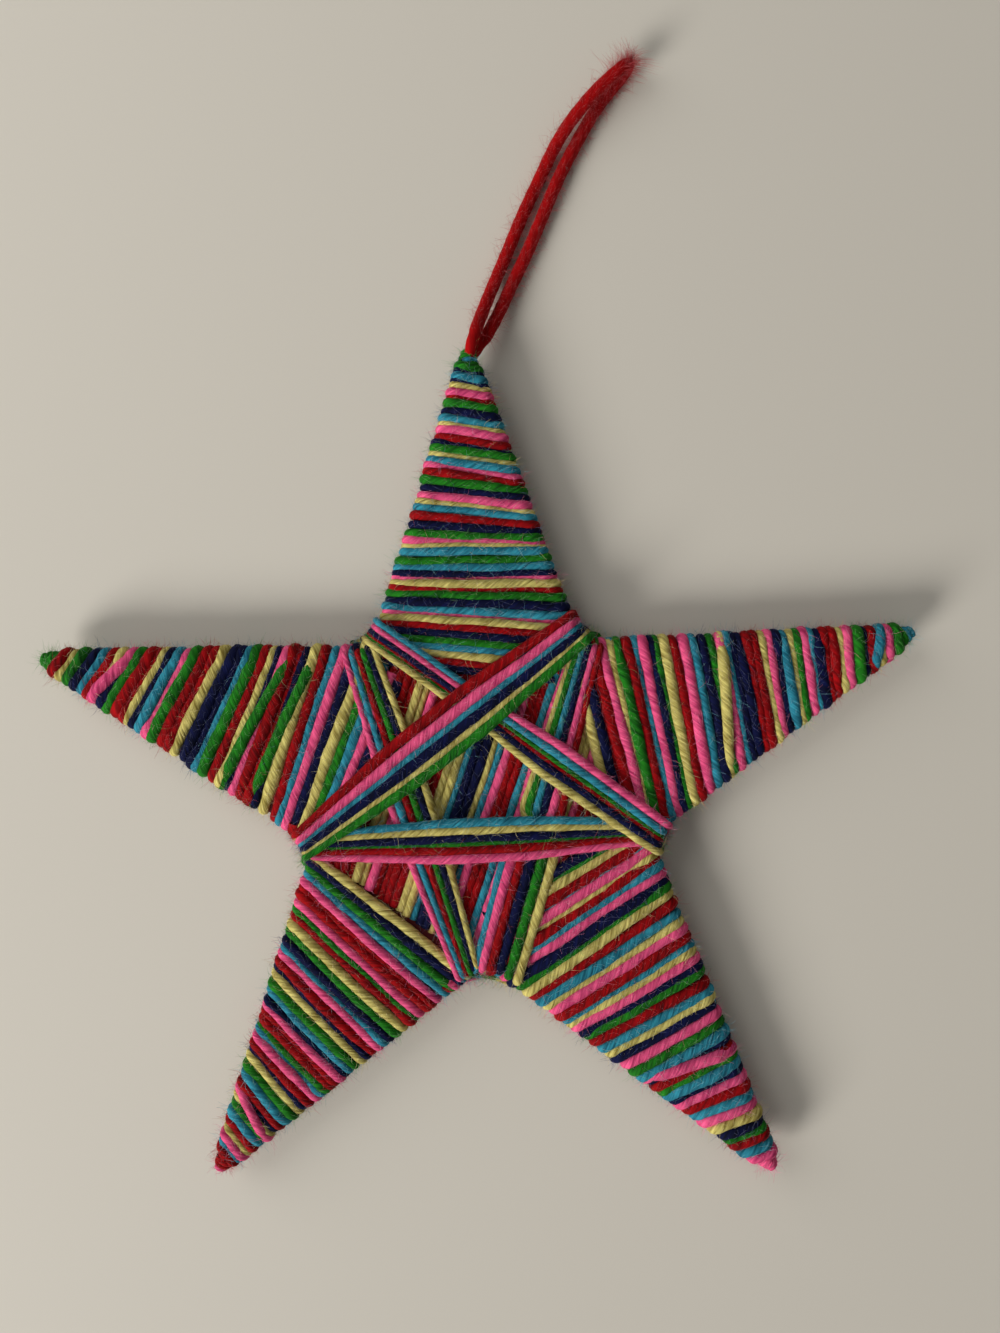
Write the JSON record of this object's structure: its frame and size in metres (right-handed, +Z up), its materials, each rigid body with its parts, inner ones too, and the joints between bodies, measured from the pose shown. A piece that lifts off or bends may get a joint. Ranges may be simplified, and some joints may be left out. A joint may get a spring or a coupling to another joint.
{
  "type": "yarn-wound star ornament",
  "caption": "Flat star of card wound with a ribbon of coloured yarns, crossed over the middle as a pentagram, with a hanging loop of doubled yarn.",
  "frame": {"origin": "middle of the star's outline, on the surface it lies on; the hanging loop is left out", "axes": "+Z up through the face, +Y to the tip with the hanging loop, +X to the right of the face"},
  "size_m": [0.15, 0.1914, 0.0094],
  "materials": {
    "card": "matt thick card, made of wood fibre",
    "yarn_red": "soft plied acrylic yarn, matt with a fine fuzz",
    "yarn_pink": "soft plied acrylic yarn, matt with a fine fuzz",
    "yarn_light_blue": "soft plied acrylic yarn, matt with a fine fuzz",
    "yarn_navy": "soft plied acrylic yarn, matt with a fine fuzz",
    "yarn_yellow": "soft plied acrylic yarn, matt with a fine fuzz",
    "yarn_green": "soft plied acrylic yarn, matt with a fine fuzz"
  },
  "bodies": {
    "star": {"star_card": "card", "underwrap_front": "yarn_red", "underwrap_back": "yarn_red", "top_arm_red_yarn": "yarn_red", "top_arm_pink_yarn": "yarn_pink", "top_arm_light_blue_yarn": "yarn_light_blue", "top_arm_navy_yarn": "yarn_navy", "top_arm_yellow_yarn": "yarn_yellow", "top_arm_green_yarn": "yarn_green", "top_tip_knob": "yarn_green", "right_arm_red_yarn": "yarn_red", "right_arm_pink_yarn": "yarn_pink", "right_arm_light_blue_yarn": "yarn_light_blue", "right_arm_navy_yarn": "yarn_navy", "right_arm_yellow_yarn": "yarn_yellow", "right_arm_green_yarn": "yarn_green", "right_tip_knob": "yarn_light_blue", "lower_right_arm_red_yarn": "yarn_red", "lower_right_arm_pink_yarn": "yarn_pink", "lower_right_arm_light_blue_yarn": "yarn_light_blue", "lower_right_arm_navy_yarn": "yarn_navy", "lower_right_arm_yellow_yarn": "yarn_yellow", "lower_right_arm_green_yarn": "yarn_green", "lower_right_tip_knob": "yarn_pink", "lower_left_arm_red_yarn": "yarn_red", "lower_left_arm_pink_yarn": "yarn_pink", "lower_left_arm_light_blue_yarn": "yarn_light_blue", "lower_left_arm_navy_yarn": "yarn_navy", "lower_left_arm_yellow_yarn": "yarn_yellow", "lower_left_arm_green_yarn": "yarn_green", "lower_left_tip_knob": "yarn_red", "left_arm_red_yarn": "yarn_red", "left_arm_pink_yarn": "yarn_pink", "left_arm_light_blue_yarn": "yarn_light_blue", "left_arm_navy_yarn": "yarn_navy", "left_arm_yellow_yarn": "yarn_yellow", "left_arm_green_yarn": "yarn_green", "left_tip_knob": "yarn_green", "centre_red_yarn": "yarn_red", "centre_pink_yarn": "yarn_pink", "centre_light_blue_yarn": "yarn_light_blue", "centre_navy_yarn": "yarn_navy", "centre_yellow_yarn": "yarn_yellow", "centre_green_yarn": "yarn_green"},
    "loop": {"hanging_loop": "yarn_red"}
  },
  "joints": [
    {"name": "loop_swing", "type": "hinge", "parent": "star", "child": "loop", "pos_m": [-0.00028, 0.06926, 0.0047], "axis": [0, 0, 1], "range_deg": [-55, 110]}
  ]
}
